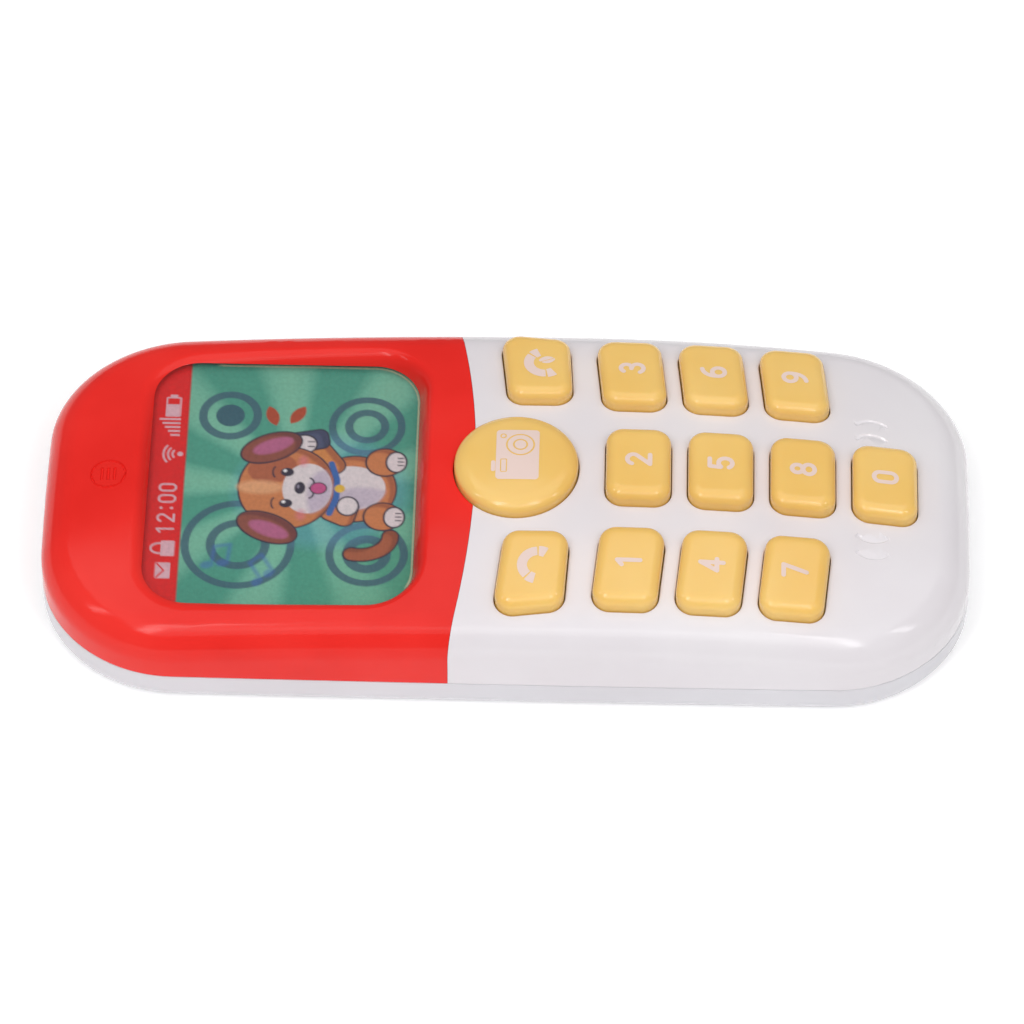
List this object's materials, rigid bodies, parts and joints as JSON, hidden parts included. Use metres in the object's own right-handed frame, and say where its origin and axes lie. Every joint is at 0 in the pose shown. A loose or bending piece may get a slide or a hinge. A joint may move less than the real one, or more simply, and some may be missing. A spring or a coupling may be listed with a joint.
{
  "type": "toy cell phone",
  "caption": "Candy-bar toy phone with a recessed picture screen, red top cover, raised yellow keys, round camera button and a battery door in the back.",
  "frame": {"origin": "middle of the back, on the surface that the phone lies on", "axes": "+Z out of the screen and keys, +Y towards the red top end, +X to the right of someone reading the keys"},
  "size_m": [0.071, 0.16, 0.0243],
  "materials": {
    "white_shell": "glossy moulded ABS",
    "red_cover": "glossy moulded ABS",
    "yellow_key": "glossy moulded ABS",
    "clear_lens": "clear plastic with fine vertical ribs",
    "printed_card": "colour print behind the lens",
    "diffuser": "milky light guide",
    "circuit": "solder-masked board",
    "led": "white LED package",
    "dark_parts": "epoxy and component bodies",
    "steel": "zinc-plated steel",
    "spring_steel": "nickel-plated spring wire and strip",
    "silicone": "translucent silicone",
    "cone_paper": "pressed paper cone",
    "cell_jacket": "printed steel can",
    "wire_red": "PVC insulation"
  },
  "bodies": {
    "casing": {"back_shell": "white_shell", "front_shell": "white_shell", "top_cover": "red_cover", "casing_screws": "steel", "screen_lens": "clear_lens", "screen_print": "printed_card", "light_guide": "diffuser", "led_boards": "circuit", "leds": "led", "circuit_board": "circuit", "sound_chip": "dark_parts", "board_components": "dark_parts", "board_screws": "steel", "keypad_mat": "silicone", "speaker_frame": "steel", "speaker_cone": "cone_paper", "speaker_magnet": "steel", "battery_contacts": "spring_steel", "battery_springs": "spring_steel", "battery_1": "cell_jacket", "battery_2": "cell_jacket", "switch_body": "steel", "speaker_wires": "wire_red", "battery_wires": "wire_red"},
    "key_0_body": {"key_0": "yellow_key"},
    "key_1_body": {"key_1": "yellow_key"},
    "key_2_body": {"key_2": "yellow_key"},
    "key_3_body": {"key_3": "yellow_key"},
    "key_4_body": {"key_4": "yellow_key"},
    "key_5_body": {"key_5": "yellow_key"},
    "key_6_body": {"key_6": "yellow_key"},
    "key_7_body": {"key_7": "yellow_key"},
    "key_8_body": {"key_8": "yellow_key"},
    "key_9_body": {"key_9": "yellow_key"},
    "key_call_body": {"key_call": "yellow_key"},
    "key_end_body": {"key_end": "yellow_key"},
    "key_camera_body": {"key_camera": "yellow_key"},
    "door": {"battery_door": "white_shell", "battery_door_screw": "steel"},
    "switch": {"switch_knob": "dark_parts"}
  },
  "joints": [
    {"name": "press_0", "type": "slide", "parent": "casing", "child": "key_0_body", "axis": [0, 0, -1], "range_m": [0, 0.001], "stiffness_N_per_m": 600, "springref_m": -0.0005, "deforming": ["keypad_mat"]},
    {"name": "press_1", "type": "slide", "parent": "casing", "child": "key_1_body", "axis": [0, 0, -1], "range_m": [0, 0.001], "stiffness_N_per_m": 600, "springref_m": -0.0005, "deforming": ["keypad_mat"]},
    {"name": "press_2", "type": "slide", "parent": "casing", "child": "key_2_body", "axis": [0, 0, -1], "range_m": [0, 0.001], "stiffness_N_per_m": 600, "springref_m": -0.0005, "deforming": ["keypad_mat"]},
    {"name": "press_3", "type": "slide", "parent": "casing", "child": "key_3_body", "axis": [0, 0, -1], "range_m": [0, 0.001], "stiffness_N_per_m": 600, "springref_m": -0.0005, "deforming": ["keypad_mat"]},
    {"name": "press_4", "type": "slide", "parent": "casing", "child": "key_4_body", "axis": [0, 0, -1], "range_m": [0, 0.001], "stiffness_N_per_m": 600, "springref_m": -0.0005, "deforming": ["keypad_mat"]},
    {"name": "press_5", "type": "slide", "parent": "casing", "child": "key_5_body", "axis": [0, 0, -1], "range_m": [0, 0.001], "stiffness_N_per_m": 600, "springref_m": -0.0005, "deforming": ["keypad_mat"]},
    {"name": "press_6", "type": "slide", "parent": "casing", "child": "key_6_body", "axis": [0, 0, -1], "range_m": [0, 0.001], "stiffness_N_per_m": 600, "springref_m": -0.0005, "deforming": ["keypad_mat"]},
    {"name": "press_7", "type": "slide", "parent": "casing", "child": "key_7_body", "axis": [0, 0, -1], "range_m": [0, 0.001], "stiffness_N_per_m": 600, "springref_m": -0.0005, "deforming": ["keypad_mat"]},
    {"name": "press_8", "type": "slide", "parent": "casing", "child": "key_8_body", "axis": [0, 0, -1], "range_m": [0, 0.001], "stiffness_N_per_m": 600, "springref_m": -0.0005, "deforming": ["keypad_mat"]},
    {"name": "press_9", "type": "slide", "parent": "casing", "child": "key_9_body", "axis": [0, 0, -1], "range_m": [0, 0.001], "stiffness_N_per_m": 600, "springref_m": -0.0005, "deforming": ["keypad_mat"]},
    {"name": "press_call", "type": "slide", "parent": "casing", "child": "key_call_body", "axis": [0, 0, -1], "range_m": [0, 0.001], "stiffness_N_per_m": 600, "springref_m": -0.0005, "deforming": ["keypad_mat"]},
    {"name": "press_end", "type": "slide", "parent": "casing", "child": "key_end_body", "axis": [0, 0, -1], "range_m": [0, 0.001], "stiffness_N_per_m": 600, "springref_m": -0.0005, "deforming": ["keypad_mat"]},
    {"name": "press_camera", "type": "slide", "parent": "casing", "child": "key_camera_body", "axis": [0, 0, -1], "range_m": [0, 0.001], "stiffness_N_per_m": 600, "springref_m": -0.0005, "deforming": ["keypad_mat"]},
    {"name": "door_open", "type": "hinge", "parent": "casing", "child": "door", "pos_m": [0, 0.0666, 0], "axis": [1, 0, 0], "range_deg": [0, 75]},
    {"name": "switch_slide", "type": "slide", "parent": "casing", "child": "switch", "axis": [1, 0, 0], "range_m": [0, 0.0032]}
  ]
}
